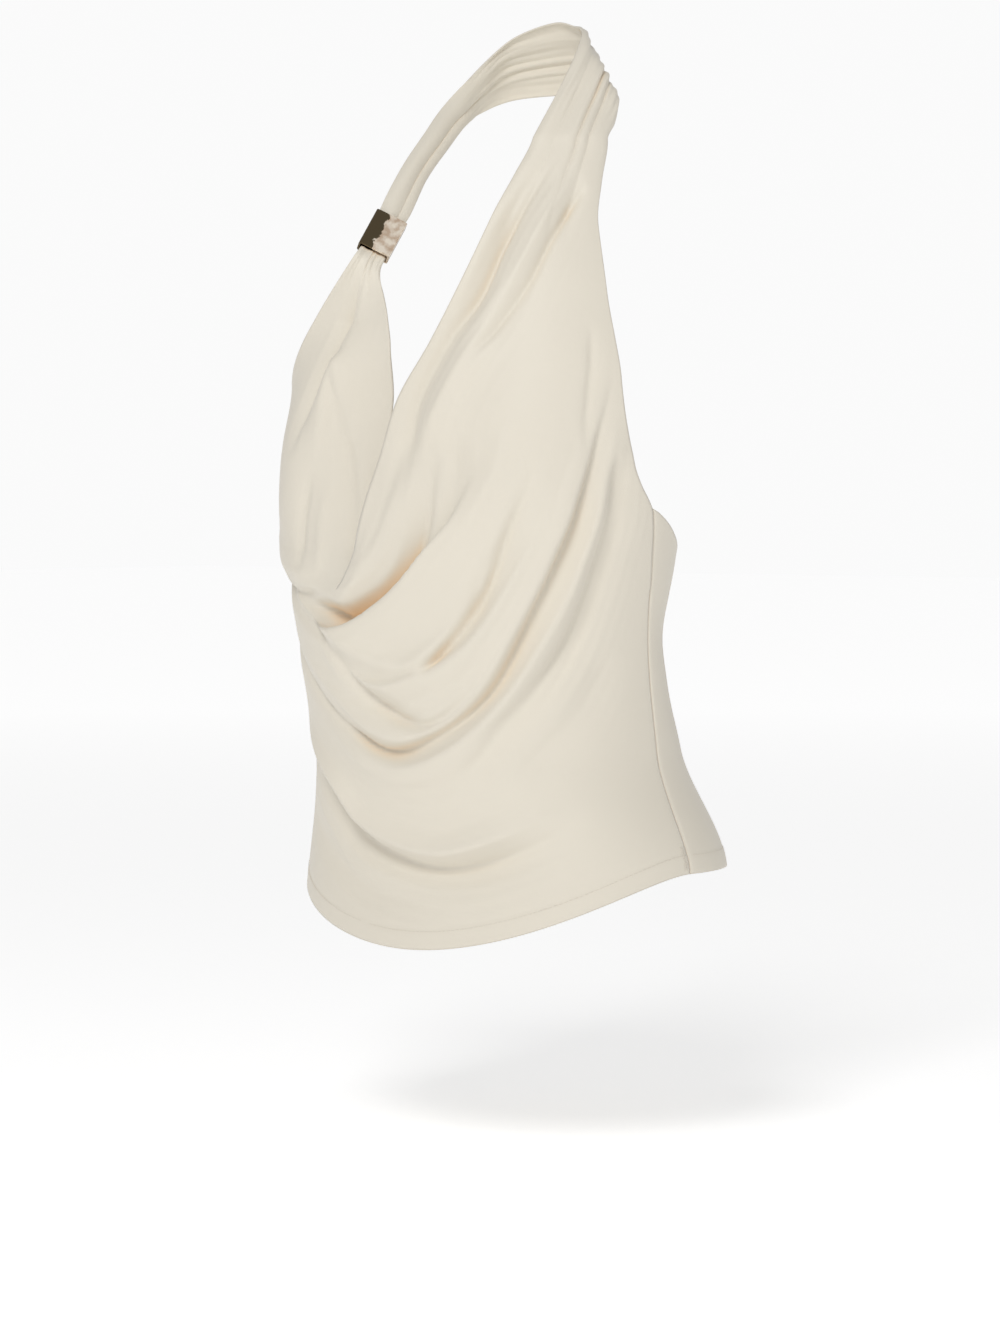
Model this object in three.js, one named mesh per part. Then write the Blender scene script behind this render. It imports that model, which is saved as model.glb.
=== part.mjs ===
// Halter neck top in draped jersey, in the hollow form that it has when worn.
// Millimetres. +X is the wearer's left, -Y the front, +Z up. The origin is at the nape, inside the neck band.
// Angles are in degrees round the body from the front, positive to the wearer's left.
import * as THREE from "three";

// Driving sizes
const CLOTH = 1.6;
const SEAM_GAP = 0.3;
const HEM_AT_SEAM = -520;
const HEM_DIP = 49;
const HEM_SHARPNESS = 0.9;
const UNDERARM = -291;
const DEGREE = 2.25;
const SQUARENESS = 0.06;
const COWL_LOW = { angle: -13, z: -343 };
const SEAM_FADE = 13;

// Rows and columns of the solids
const GRID = {
  strapRows: 12,
  leftRows: 20,
  rightTopRows: 7,
  rightRows: 11,
  cowlRows: 5,
  bodyRows: 20,
  bandRows: 34,
  leftColumns: 20,
  rightColumns: 16,
  backColumns: 16,
};

// Height where the left strap starts and the right gathers start
const STRAP_FOOT = { z: -58, below: -83 };
const RING_FOOT = { z: -170, below: -196 };

// Slide ring: a flat rectangular tube. along is the way up the strap, across is its width.
const RING = {
  centre: new THREE.Vector3(-39.5, -142, -118),
  along: new THREE.Vector3(0, 0.62, 0.785).normalize(),
  across: new THREE.Vector3(0.692, 0.566, -0.447).normalize(),
  width: 21.5,
  length: 28,
  depth: 10,
  wall: 1.2,
  corner: 1.6,
};

// The plain form: centre, half width, and depth to the front and to the back at each height
const SECTIONS = [
  { z: 30, x: -1, y: -54, half: 55, front: 46, back: 50 },
  { z: -20, x: -2, y: -56, half: 70, front: 50, back: 62 },
  { z: -58, x: -3, y: -58, half: 90, front: 58, back: 75 },
  { z: -82, x: -4, y: -61, half: 99, front: 70, back: 80 },
  { z: -108, x: -5, y: -64, half: 108, front: 82, back: 84 },
  { z: -155, x: -7, y: -68, half: 125, front: 94, back: 88 },
  { z: -209, x: -8, y: -72, half: 138, front: 99, back: 90 },
  { z: -250, x: -8, y: -74, half: 138, front: 103, back: 90 },
  { z: -291, x: -8, y: -74, half: 139, front: 110, back: 88 },
  { z: -325, x: -8, y: -74, half: 134, front: 113, back: 85 },
  { z: -377, x: -8, y: -71, half: 126, front: 114, back: 72 },
  { z: -445, x: -4, y: -64, half: 124, front: 114, back: 90 },
  { z: -517, x: 0, y: -56, half: 147, front: 108, back: 106 },
  { z: -575, x: 0, y: -56, half: 154, front: 110, back: 110 },
];

// Ease that the cut gives at each side of the front
const EASE = { angle: 40, z: -245, out: 9, wide: 24, above: 60, below: 85 };

// Edges of the front: the neckline, the armholes and the side seams
const NECK_LEFT = [
  { z: -58, angle: 38 },
  { z: -107, angle: 28.2 },
  { z: -149, angle: 20.2 },
  { z: -187, angle: 11.7 },
  { z: -225, angle: 3 },
  { z: -264, angle: -1 },
  { z: -300, angle: -5.2 },
  { z: -331, angle: -9 },
  { z: -343, angle: -13 },
];
const ARMHOLE_LEFT = [
  { z: -58, angle: 80 },
  { z: -89, angle: 73 },
  { z: -115, angle: 70 },
  { z: -161, angle: 70 },
  { z: -186, angle: 70.5 },
  { z: -213, angle: 72.5 },
  { z: -243, angle: 76 },
  { z: -272, angle: 81 },
  { z: -291, angle: 87 },
];
const SIDE_SEAM = [
  { z: -291, angle: 87 },
  { z: -326, angle: 90 },
  { z: -387, angle: 93 },
  { z: -448, angle: 92 },
  { z: -496, angle: 88 },
  { z: -520, angle: 87 },
];
const NECK_RIGHT = [
  { z: -122, angle: -8 },
  { z: -146, angle: -6.5 },
  { z: -187, angle: -4 },
  { z: -224, angle: -5 },
  { z: -264, angle: -3.5 },
  { z: -300, angle: -6.5 },
  { z: -331, angle: -10 },
  { z: -343, angle: -13 },
];
const ARMHOLE_RIGHT = [
  { z: -122, angle: -24 },
  { z: -150, angle: -32 },
  { z: -187, angle: -47 },
  { z: -225, angle: -63 },
  { z: -260, angle: -75 },
  { z: -291, angle: -87 },
];

// How far the right side is drawn flat between its edges, and its neck edge tucked behind the left one
const RIGHT_SIDE = [
  { z: -122, drawn: 0, tucked: 0 },
  { z: -150, drawn: 9, tucked: 0 },
  { z: -187, drawn: 7.5, tucked: 8 },
  { z: -224, drawn: 4, tucked: 20 },
  { z: -264, drawn: 0, tucked: 18 },
  { z: -300, drawn: 0, tucked: 12 },
  { z: -331, drawn: 0, tucked: 4 },
  { z: -343, drawn: 0, tucked: 0 },
];

// Depth of the gathers that run down from the left strap
const STRAP_GATHERS = [
  { z: -50, deep: 3 },
  { z: -90, deep: 1.6 },
  { z: -130, deep: 0 },
];

// Top edge of the back, by the share of the way from a side seam to the centre back
const BACK_TOP = [
  { share: 0, z: UNDERARM },
  { share: 0.11, z: -300 },
  { share: 0.23, z: -310 },
  { share: 0.34, z: -317 },
  { share: 0.57, z: -325 },
  { share: 1, z: -330 },
];

// Stations of the strap from the left shoulder round the nape to the ring, and its shape at each
const STRAP = [
  { upper: [55, -75, -20], lower: [83, -58, -48], bulge: 2.5, gathers: 3, rolls: 0 },
  { upper: [48, -51, 5], lower: [77, -47, -36], bulge: 2.5, gathers: 3, rolls: 0 },
  { upper: [37, -34, 17], lower: [53, -24, -30], bulge: 1, gathers: 2.6, rolls: 0 },
  { upper: [14, -13, 23], lower: [30, 1, -21], bulge: 2.5, gathers: 1.8, rolls: 0 },
  { upper: [-6, -9, 27], lower: [-8, 7, -19], bulge: 3, gathers: 1.8, rolls: 0 },
  { upper: [-32, -20, 18], lower: [-42, -10, -22], bulge: 2, gathers: 1.8, rolls: 0 },
  { upper: [-45, -38, -1], lower: [-50, -34, -32], bulge: 0, gathers: 1, rolls: -2 },
  { upper: [-52.6, -67.8, -31], lower: [-45.4, -54.2, -41], bulge: -1, gathers: 0, rolls: -4 },
  { upper: [-51, -87, -49], lower: [-42, -76, -58], bulge: -1, gathers: 0, rolls: -4 },
  { upper: [-50, -109, -71], lower: [-40, -99, -79], bulge: -1, gathers: 0, rolls: -4 },
  { ...ringStation(20, 8.8, -0.7), bulge: 0, gathers: 0, rolls: -2.6 },
  { ...ringStation(8, 7.2, -0.7), bulge: 0, gathers: 0, rolls: -2.4 },
  { ...ringStation(-6, 7.2, -0.7), bulge: 0, gathers: 0, rolls: -2.4 },
];
const NARROW_ROLL = 0.25;
const STRAP_SEAM = 4;
const STRAP_END = 12.55;
const SEAM_STEP = 0.01;

// Stations of the right front where it gathers into the ring, from its sheet up
const RIGHT_TOP = [
  { ...ringStation(-24, 9.8, 0.4), bulge: 0, gathers: 0.9, rolls: 0 },
  { ...ringStation(-14.7, 8.8, 0.9), bulge: 0, gathers: 0.5, rolls: 0 },
  { ...ringStation(-6, 8.6, 0.9), bulge: 0, gathers: 0.5, rolls: 0 },
];
const RIGHT_TOP_END = 2;

// Folds: a line of [angle, z] points from the wearer's right to left, how far the cloth moves out there,
// its half width above and below the line, how far the cloth is drawn up over it, and the shares of its
// length over which it fades at its right and left ends
const FOLDS = [
  {
    name: "cowl pocket",
    line: [[-60, -300], [-30, -346], [-8, -361], [7, -342], [14, -308], [16, -234]],
    out: -8, above: 10, below: 8, lift: 0, right: 0.25, left: 0.35,
  },
  {
    name: "cowl rim",
    line: [[-62, -305], [-32, -358], [-11, -372], [9, -350], [24, -308], [31, -262]],
    out: 6, above: 8, below: 15, lift: 3, right: 0.3, left: 0.3,
  },
  {
    name: "neck groove",
    line: [[8, -292], [8, -250], [17, -184], [32, -128], [51, -69]],
    out: -5.5, above: 10, below: 9, lift: 0, right: 0.25, left: 0.08,
  },
  {
    name: "neck ridge",
    line: [[13, -262], [24, -196], [36, -155], [58, -80]],
    out: 4, above: 10, below: 10, lift: 0, right: 0.2, left: 0.2,
  },
  {
    name: "slant groove",
    line: [[22, -205], [34, -174], [50, -124], [66, -88]],
    out: -3.5, above: 9, below: 8, lift: 0, right: 0.3, left: 0.2,
  },
  {
    name: "second trough",
    line: [[14, -399], [34, -349], [40, -301], [46, -258]],
    out: -5.5, above: 9, below: 9, lift: 0, right: 0.12, left: 0.25,
  },
  {
    name: "second ridge",
    line: [[-22, -362], [-10, -380], [9, -389], [24, -372], [33, -352]],
    out: 3, above: 9, below: 9, lift: 0, right: 0.3, left: 0.3,
  },
  {
    name: "third trough",
    line: [[-55, -335], [-22, -376], [-6, -408], [12, -425], [28, -408], [42, -368]],
    out: -3.5, above: 9, below: 8, lift: 0, right: 0.3, left: 0.3,
  },
  {
    name: "long ridge",
    line: [[-60, -350], [-24, -400], [-4, -430], [12, -433], [32, -403], [48, -350], [66, -222]],
    out: 3.5, above: 9, below: 8, lift: 0, right: 0.3, left: 0.2,
  },
  {
    name: "long trough",
    line: [[-66, -350], [-35, -398], [-12, -436], [8, -445], [35, -410], [52, -342], [70, -210]],
    out: -6, above: 9, below: 9, lift: 0, right: 0.3, left: 0.1,
  },
  {
    name: "low ridge",
    line: [[-62, -370], [-27, -418], [-6, -456], [14, -458], [40, -420], [58, -358], [72, -235]],
    out: 4, above: 9, below: 12, lift: 0, right: 0.3, left: 0.2,
  },
  {
    name: "side trough",
    line: [[19, -473], [34, -440], [50, -405], [63, -363], [73, -255]],
    out: -4.5, above: 10, below: 12, lift: 0, right: 0.3, left: 0.15,
  },
  {
    name: "hem ridge",
    line: [[-58, -420], [-26, -464], [-8, -500], [12, -508], [30, -494], [50, -474]],
    out: 3.5, above: 10, below: 8, lift: 0, right: 0.3, left: 0.3,
  },
  {
    name: "hem trough",
    line: [[-60, -432], [-28, -480], [-12, -512], [12, -522], [34, -509], [58, -480]],
    out: -4.5, above: 8, below: 12, lift: 0, right: 0.3, left: 0.3,
  },
  {
    name: "right crease",
    line: [[-70, -314], [-44, -344], [-15, -343]],
    out: -5, above: 8, below: 8, lift: 0, right: 0.3, left: 0.12,
  },
  {
    name: "outer crease under the ring",
    line: [[-40, -270], [-31, -218], [-26, -180]],
    out: -3.5, above: 8, below: 7, lift: 0, right: 0.3, left: 0.2,
  },
  {
    name: "inner crease under the ring",
    line: [[-13, -300], [-18, -243], [-20, -190]],
    out: -3, above: 7, below: 7, lift: 0, right: 0.3, left: 0.2,
  },
];
const FOLD_STEPS = 10;

// Cloth and metal
const JERSEY = { color: 0xe2dbcd, roughness: 0.7, metalness: 0 };
const CHAMPAGNE_METAL = { color: 0xcdb38b, roughness: 0.18, metalness: 1 };

// Small helpers
const mix = (a, b, share) => a + (b - a) * share;

function smooth(share) {
  const clipped = Math.min(1, Math.max(0, share));
  return clipped * clipped * (3 - 2 * clipped);
}

// A smooth curve through one column of a table, which never swings past its rows
function through(rows, key, column) {
  const tilts = rows.map((row, i) => {
    const before = rows[Math.max(0, i - 1)];
    const after = rows[Math.min(rows.length - 1, i + 1)];
    const rise = i === 0 ? 0 : (row[column] - before[column]) / (row[key] - before[key]);
    const next = i === rows.length - 1 ? 0 : (after[column] - row[column]) / (after[key] - row[key]);
    if (i === 0) return next;
    if (i === rows.length - 1) return rise;
    return rise * next > 0 ? (2 * rise * next) / (rise + next) : 0;
  });
  const falling = rows[1][key] < rows[0][key];
  return (x) => {
    const reached = rows.findLastIndex((row) => (falling ? row[key] >= x : row[key] <= x));
    const i = Math.min(rows.length - 2, Math.max(0, reached));
    const step = rows[i + 1][key] - rows[i][key];
    const t = Math.min(1, Math.max(0, (x - rows[i][key]) / step));
    const [from, to] = [rows[i][column], rows[i + 1][column]];
    const bend = t * (1 - t) * step * ((1 - t) * tilts[i] - t * tilts[i + 1]);
    return mix(from, to, smooth(t)) + bend;
  };
}

const section = Object.fromEntries(
  ["x", "y", "half", "front", "back"].map((column) => [column, through(SECTIONS, "z", column)]),
);
const neckLeft = through(NECK_LEFT, "z", "angle");
const armholeLeft = through(ARMHOLE_LEFT, "z", "angle");
const sideSeam = through(SIDE_SEAM, "z", "angle");
const neckRight = through(NECK_RIGHT, "z", "angle");
const armholeRight = through(ARMHOLE_RIGHT, "z", "angle");
const drawnFlat = through(RIGHT_SIDE, "z", "drawn");
const tuckedIn = through(RIGHT_SIDE, "z", "tucked");
const strapGathers = through(STRAP_GATHERS, "z", "deep");
const backTop = through(BACK_TOP, "share", "z");

const leftEdge = (z) => (z > UNDERARM ? armholeLeft(z) : sideSeam(z));
const rightEdge = (z) => (z > UNDERARM ? armholeRight(z) : -sideSeam(z));

function hemHeight(angle) {
  const front = 1 - smooth(Math.abs(angle) / sideSeam(HEM_AT_SEAM));
  return HEM_AT_SEAM - HEM_DIP * front ** HEM_SHARPNESS;
}

// A row of cloth held across the ring, so far up from its middle and forward in it
function ringStation(up, half, forward) {
  const facing = RING.across.clone().cross(RING.along);
  const middle = RING.centre.clone().addScaledVector(RING.along, up).addScaledVector(facing, forward);
  const upper = middle.clone().addScaledVector(RING.across, -half);
  const lower = middle.clone().addScaledVector(RING.across, half);
  return { upper: upper.toArray(), lower: lower.toArray() };
}

// The plain form, and the way round, up and out at a point of it
function formPoint(angle, z) {
  const turn = THREE.MathUtils.degToRad(angle);
  const [sin, cos] = [Math.sin(turn), Math.cos(turn)];
  const dz = z - EASE.z;
  const side = (Math.abs(angle) - EASE.angle) / EASE.wide;
  const ease = EASE.out * Math.exp(-(side ** 2)) * Math.exp(-((dz / (dz > 0 ? EASE.above : EASE.below)) ** 2));
  const depth = cos > 0 ? section.front(z) : section.back(z);
  const x = section.x(z) + (section.half(z) + ease) * sin * (1 + SQUARENESS * cos * cos);
  const y = section.y(z) - (depth + ease) * cos * (1 + SQUARENESS * sin * sin);
  return new THREE.Vector3(x, y, z);
}

function formFrame(angle, z) {
  const round = formPoint(angle + 0.5, z).sub(formPoint(angle - 0.5, z)).normalize();
  const up = formPoint(angle, z + 1).sub(formPoint(angle, z - 1)).normalize();
  const out = round.clone().cross(up).normalize();
  return { round, up, out };
}

// Folds are laid out on the unrolled cloth, in millimetres round and up
function unrolledLine(fold) {
  const points = fold.line.map(([angle, z]) => new THREE.Vector2(angle * DEGREE, z));
  return new THREE.SplineCurve(points).getPoints(FOLD_STEPS * (points.length - 1));
}

const FOLD_LINES = FOLDS.map((fold) => ({ ...fold, points: unrolledLine(fold) }));

function nearestOnLine(points, at) {
  const last = points.length - 1;
  let best = { distance: Infinity };
  for (let i = 0; i < last; i += 1) {
    const step = points[i + 1].clone().sub(points[i]);
    const offset = at.clone().sub(points[i]);
    const share = Math.min(1, Math.max(0, offset.dot(step) / step.lengthSq()));
    offset.addScaledVector(step, -share);
    const distance = offset.length();
    if (distance < best.distance) {
      const below = new THREE.Vector2(step.y, -step.x).normalize();
      best = { distance, below, side: Math.sign(offset.dot(below)), along: (i + share) / last };
    }
  }
  return best;
}

function foldMove(angle, z) {
  const at = new THREE.Vector2(angle * DEGREE, z);
  const move = { out: 0, slide: new THREE.Vector2() };
  for (const fold of FOLD_LINES) {
    const { distance, below, side, along } = nearestOnLine(fold.points, at);
    const width = side > 0 ? fold.below : fold.above;
    const fade = smooth(along / fold.right) * smooth((1 - along) / fold.left);
    const strength = fade * Math.exp(-((distance / width) ** 2));
    move.out += fold.out * strength;
    move.slide.addScaledVector(below, -fold.lift * strength);
  }
  return move;
}

function clothPoint(angle, z, extra) {
  const wrapped = angle > 180 ? angle - 360 : angle;
  const { round, up, out } = formFrame(angle, z);
  const { out: moved, slide } = foldMove(wrapped, z);
  const fade = smooth((95 - Math.abs(wrapped)) / SEAM_FADE);
  const point = formPoint(angle, z).addScaledVector(out, moved * fade + extra);
  return point.addScaledVector(round, slide.x * fade).addScaledVector(up, slide.y * fade);
}

// Lengthwise gathers across a strap, and the wide and narrow roll of the right strap
function gathers(s) {
  const share = Math.min(1, Math.max(0, s));
  const uneven = share + 0.05 * Math.sin(3 * Math.PI * share + 0.8) * Math.sin(Math.PI * share);
  return Math.abs(Math.sin(4 * Math.PI * uneven)) ** 0.8;
}

function rolls(s) {
  const share = Math.min(1, Math.max(0, s));
  const groove = 0.67;
  if (share < groove) return Math.sin((Math.PI * share) / groove) ** 2;
  return NARROW_ROLL * Math.sin((Math.PI * (share - groove)) / (1 - groove)) ** 2;
}

// Each surface gives the point at s, from the wearer's right to left, and t, from low to high
function leftFront(s, z) {
  return clothPoint(mix(neckLeft(z), leftEdge(z), s), z, strapGathers(z) * gathers(s));
}

function rightFront(s, z) {
  const flat = drawnFlat(z) * 4 * s * (1 - s);
  const tuck = tuckedIn(z) * (1 - smooth(2.2 * (1 - s)));
  return clothPoint(mix(rightEdge(z), neckRight(z), s), z, -flat - tuck);
}

function lowerFront(side) {
  return (s, t) => {
    const seam = side * sideSeam(mix(COWL_LOW.z, HEM_AT_SEAM, -t));
    const angle = side > 0 ? mix(COWL_LOW.angle, seam, s) : mix(seam, COWL_LOW.angle, s);
    return clothPoint(angle, mix(COWL_LOW.z, hemHeight(angle), -t), 0);
  };
}

function back(s, t) {
  const seam = sideSeam(mix(UNDERARM, HEM_AT_SEAM, -t));
  const angle = mix(seam, 360 - seam, s);
  const top = backTop(1 - Math.abs(1 - 2 * s));
  return clothPoint(angle, mix(top, HEM_AT_SEAM, -t), 0);
}

// A strip whose foot is a row of the sheet below it, and whose edges then follow the stations
function strip(sheet, foot, stations) {
  const edge = (s, name) => {
    const start = [sheet(s, foot.below), sheet(s, foot.z)];
    const rest = stations.map((station) => new THREE.Vector3(...station[name]));
    const curve = new THREE.CatmullRomCurve3([...start, ...rest]);
    return (t) => curve.getPoint((t + 1) / (stations.length + 1));
  };
  const first = edge(0, "upper");
  const last = edge(1, "lower");
  const shape = Object.fromEntries(
    ["bulge", "gathers", "rolls"].map((column) => {
      const rows = stations.map((station, i) => ({ t: i + 1, deep: station[column] }));
      return [column, through(rows, "t", "deep")];
    }),
  );
  const flat = (s, t) => first(t).lerp(last(t), s);
  return (s, t) => {
    const point = flat(s, t);
    const round = last(t).sub(first(t));
    const up = flat(s, t + 0.02).sub(flat(s, t - 0.02));
    const out = round.cross(up).normalize();
    const own = smooth(t);
    const deep = shape.bulge(t) * 4 * s * (1 - s) + shape.gathers(t) * gathers(s) + shape.rolls(t) * rolls(s);
    const footShape = sheet(s, foot.z).sub(flat(s, 0));
    return point.addScaledVector(footShape, 1 - own).addScaledVector(out, own * deep);
  };
}

const strap = strip(leftFront, STRAP_FOOT, STRAP);
const rightTop = strip(rightFront, RING_FOOT, RIGHT_TOP);

function outwards(surface, s, t, step) {
  const round = surface(s + 0.004, t).sub(surface(s - 0.004, t));
  const up = surface(s, t + step).sub(surface(s, t - step));
  return round.cross(up).normalize();
}

// A sheet of cloth: rows of points joined by faces, then given its thickness
class Sheet {
  constructor() {
    this.points = [];
    this.normals = [];
    this.faces = [];
  }

  // Adds a row of points at t. step is a short way along t, trim moves the row's two ends round by so much.
  row(surface, t, columns, step, trim = { first: 0, last: 0 }) {
    return Array.from({ length: columns + 1 }, (_, column) => {
      const s = column / columns;
      const round = surface(s + 0.004, t).sub(surface(s - 0.004, t)).normalize();
      const move = (column === 0 ? trim.first : 0) + (column === columns ? trim.last : 0);
      this.points.push(surface(s, t).addScaledVector(round, move));
      this.normals.push(outwards(surface, s, t, step));
      return this.points.length - 1;
    });
  }

  join(lower, upper) {
    for (let i = 0; i < lower.length - 1; i += 1) {
      this.faces.push([lower[i], lower[i + 1], upper[i]]);
      this.faces.push([lower[i + 1], upper[i + 1], upper[i]]);
    }
  }

  joinAll(rows) {
    rows.slice(1).forEach((upper, i) => this.join(rows[i], upper));
  }

  solid() {
    const count = this.points.length;
    const inner = this.points.map((point, i) => point.clone().addScaledVector(this.normals[i], -CLOTH));
    const edges = new Set(this.faces.flatMap(([a, b, c]) => [`${a} ${b}`, `${b} ${c}`, `${c} ${a}`]));
    const index = this.faces.flatMap(([a, b, c]) => [a, b, c, c + count, b + count, a + count]);
    for (const edge of edges) {
      const [a, b] = edge.split(" ").map(Number);
      if (!edges.has(`${b} ${a}`)) index.push(b, a, a + count, b, a + count, b + count);
    }
    const geometry = new THREE.BufferGeometry().setFromPoints([...this.points, ...inner]);
    geometry.setIndex(index);
    geometry.computeVertexNormals();
    return geometry;
  }
}

const steps = (from, to, count) => Array.from({ length: count + 1 }, (_, i) => mix(from, to, i / count));

// The front: two legs above the cowl's lowest point, one sheet below it
function frontGeometry() {
  const sheet = new Sheet();
  const trim = SEAM_GAP / 2;
  const { leftColumns: left, rightColumns: right } = GRID;
  const body = steps(-1, 0, GRID.bodyRows).map((t) => {
    const rightRow = sheet.row(lowerFront(-1), t, right, 0.005, { first: trim, last: 0 });
    const leftRow = sheet.row(lowerFront(1), t, left, 0.005, { first: 0, last: -trim });
    return { rightRow, leftRow: [rightRow[right], ...leftRow.slice(1)] };
  });
  const cowlHeights = steps(COWL_LOW.z, UNDERARM, GRID.cowlRows).slice(1);
  const leftHeights = steps(UNDERARM, STRAP_FOOT.z, GRID.leftRows).slice(1);
  const rightHeights = steps(UNDERARM, RING_FOOT.z, GRID.rightRows).slice(1);
  const leftTrim = { first: 0, last: -trim };
  const rightTrim = { first: trim, last: 0 };
  sheet.joinAll([
    ...body.map((row) => row.leftRow),
    ...cowlHeights.map((z) => sheet.row(leftFront, z, left, 0.5, leftTrim)),
    ...leftHeights.map((z) => sheet.row(leftFront, z, left, 0.5)),
    ...steps(0, STRAP_SEAM, GRID.strapRows).slice(1, -1).map((t) => sheet.row(strap, t, left, 0.02)),
    sheet.row(strap, STRAP_SEAM - SEAM_STEP, left, 0.005),
  ]);
  sheet.joinAll([
    ...body.map((row) => row.rightRow),
    ...cowlHeights.map((z) => sheet.row(rightFront, z, right, 0.5, rightTrim)),
    ...rightHeights.map((z) => sheet.row(rightFront, z, right, 0.5)),
    ...steps(0, RIGHT_TOP_END, GRID.rightTopRows).slice(1).map((t) => sheet.row(rightTop, t, right, 0.02)),
  ]);
  return sheet.solid();
}

// The back, with rows at the same heights as the front's along the seams
function backGeometry() {
  const sheet = new Sheet();
  const trim = { first: SEAM_GAP / 2, last: -SEAM_GAP / 2 };
  const share = (z) => (z - UNDERARM) / (UNDERARM - HEM_AT_SEAM);
  const heights = [
    ...steps(HEM_AT_SEAM, COWL_LOW.z, GRID.bodyRows),
    ...steps(COWL_LOW.z, UNDERARM, GRID.cowlRows).slice(1),
  ];
  sheet.joinAll(heights.map((z) => sheet.row(back, share(z), GRID.backColumns, 0.005, trim)));
  return sheet.solid();
}

// The neck strap, from its seam with the front to its end in the ring
function strapGeometry() {
  const sheet = new Sheet();
  const rows = steps(STRAP_SEAM, STRAP_END, GRID.bandRows).slice(1);
  sheet.joinAll([
    sheet.row(strap, STRAP_SEAM + SEAM_STEP, GRID.leftColumns, 0.005),
    ...rows.map((t) => sheet.row(strap, t, GRID.leftColumns, 0.02)),
  ]);
  return sheet.solid();
}

// A rectangle with round corners, as an outline or a hole
function roundedRectangle(path, width, height, corner) {
  const [x, y] = [width / 2 - corner, height / 2 - corner];
  path.absarc(x, y, corner, 0, Math.PI / 2, false);
  path.absarc(-x, y, corner, Math.PI / 2, Math.PI, false);
  path.absarc(-x, -y, corner, Math.PI, 1.5 * Math.PI, false);
  path.absarc(x, -y, corner, 1.5 * Math.PI, 2 * Math.PI, false);
  return path;
}

function ringGeometry() {
  const { width, depth, length, wall, corner, along, across } = RING;
  const outline = roundedRectangle(new THREE.Shape(), width, depth, corner);
  const hole = roundedRectangle(new THREE.Path(), width - 2 * wall, depth - 2 * wall, corner - wall / 2);
  outline.holes.push(hole);
  const geometry = new THREE.ExtrudeGeometry(outline, { depth: length, bevelEnabled: false, curveSegments: 4 });
  geometry.translate(0, 0, -length / 2);
  const facing = along.clone().cross(across);
  return geometry.applyMatrix4(new THREE.Matrix4().makeBasis(across, facing, along));
}

function piece(name, geometry, finish) {
  const mesh = new THREE.Mesh(geometry, new THREE.MeshStandardMaterial(finish));
  mesh.name = name;
  return mesh;
}

const ring = piece("slide_ring", ringGeometry(), CHAMPAGNE_METAL);
ring.position.copy(RING.centre);

const top = new THREE.Group();
top.add(piece("front_panel", frontGeometry(), JERSEY));
top.add(piece("back_panel", backGeometry(), JERSEY));
top.add(piece("neck_strap", strapGeometry(), JERSEY));
top.add(ring);

export default top;
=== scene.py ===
# Looks of a halter neck top in draped jersey: cloth shells, sewing, ring, light and camera.
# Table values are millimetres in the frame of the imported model: +X the wearer's left, -Y the front, +Z up.
# Angles are degrees round the body from the front, positive to the wearer's left.
import math

import bpy
import numpy as np
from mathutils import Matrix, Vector


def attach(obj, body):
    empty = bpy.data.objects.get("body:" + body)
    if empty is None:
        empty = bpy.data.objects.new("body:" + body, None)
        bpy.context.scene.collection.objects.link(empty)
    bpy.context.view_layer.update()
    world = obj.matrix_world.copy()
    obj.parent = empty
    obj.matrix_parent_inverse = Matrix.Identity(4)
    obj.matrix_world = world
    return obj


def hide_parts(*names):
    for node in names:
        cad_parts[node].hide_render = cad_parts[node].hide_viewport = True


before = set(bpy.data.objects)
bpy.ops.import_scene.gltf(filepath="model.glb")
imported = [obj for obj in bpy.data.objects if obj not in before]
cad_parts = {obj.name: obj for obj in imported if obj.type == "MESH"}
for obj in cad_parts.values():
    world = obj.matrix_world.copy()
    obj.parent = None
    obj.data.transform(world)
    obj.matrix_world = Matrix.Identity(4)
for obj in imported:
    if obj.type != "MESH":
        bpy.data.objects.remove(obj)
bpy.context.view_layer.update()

MM = 0.001

# Driving sizes
CLOTH = 1.1
SEAM_GAP = 0.3
HEM_AT_SEAM = -520
HEM_DIP = 49
HEM_SHARPNESS = 0.9
UNDERARM = -291
SQUARENESS = 0.06
COWL_LOW = {"angle": -13, "z": -343}

# Unrolled cloth for each degree round the body
DEGREE = 2.25

# Angle from the front past which the cloth has no folds, and the degrees over which they fade
FOLDS_END = 95
FOLDS_FADE = 13

# Share of the folds taken away at the neckline edge, the rise to it and the share of the width
NECK_CALM = {"share": 0.85, "rise": 70, "wide": 0.16}

# How soon the tuck of the right front ends, in from its neckline edge
TUCK_SHARPNESS = 2.2

# Sewing: the dip at a side seam, the hem's turning, its stitches and the bartack
SEAM_DIP = {"deep": 0.6, "wide": 2.4}
TURNING = {"tall": 13, "step": 0.3, "soft": 2.5, "pull": 0.12, "pull_wide": 1.6}
STITCH = {"pitch": 3.4, "length": 2.7, "thread": 0.42, "proud": 0.05, "in_from_fold": 1.4}
BARTACK = {
    "rows": 15, "tall": 14, "wide": 4.5, "in_from_seam": 1.6, "above_hem": 3, "thread": 0.8, "lean": 0.5,
}
LEFT_HEM_LENGTH = 218
HEM_LINE = {"first": 0.004, "last": 0.996, "points": 400}

# A stitch's profile: share of its length, and height there as a share of the highest
STITCH_PROFILE = ((0, 0.2), (0.25, 1), (0.75, 1), (1, 0.2))
STITCH_HEIGHT = 0.45

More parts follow.
